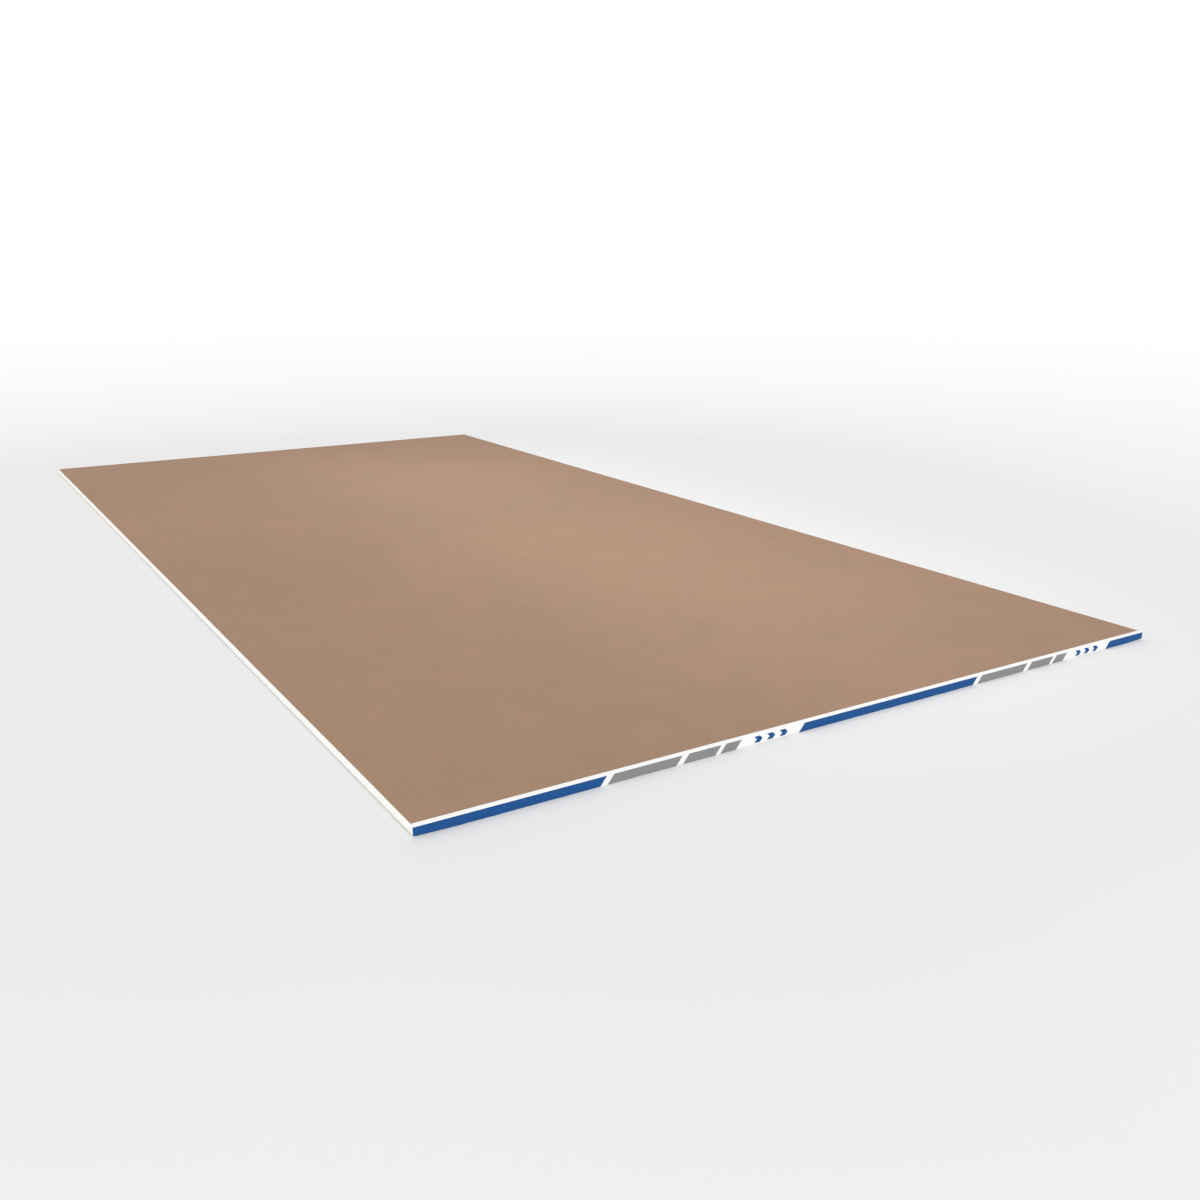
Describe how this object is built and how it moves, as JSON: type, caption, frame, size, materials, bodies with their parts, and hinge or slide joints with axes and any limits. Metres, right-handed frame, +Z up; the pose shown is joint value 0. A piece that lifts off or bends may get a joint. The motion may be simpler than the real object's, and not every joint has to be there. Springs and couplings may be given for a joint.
{
  "type": "drywall sheet",
  "caption": "Flat gypsum board with tapered, paper-bound long edges, lying on its face with its brown back up, and a printed paper tape folded over each cut end.",
  "frame": {"origin": "centre of the sheet's outline, on the floor that its face lies on", "axes": "+X across the sheet, +Y along it from the front end to the rear end, +Z up out of its back"},
  "size_m": [1.2166, 2.4364, 0.013],
  "materials": {
    "board_paper": "matte",
    "tape_paper": "satin"
  },
  "bodies": {
    "root": {"board": "board_paper", "front_end_tape": "tape_paper", "rear_end_tape": "tape_paper"}
  },
  "joints": []
}
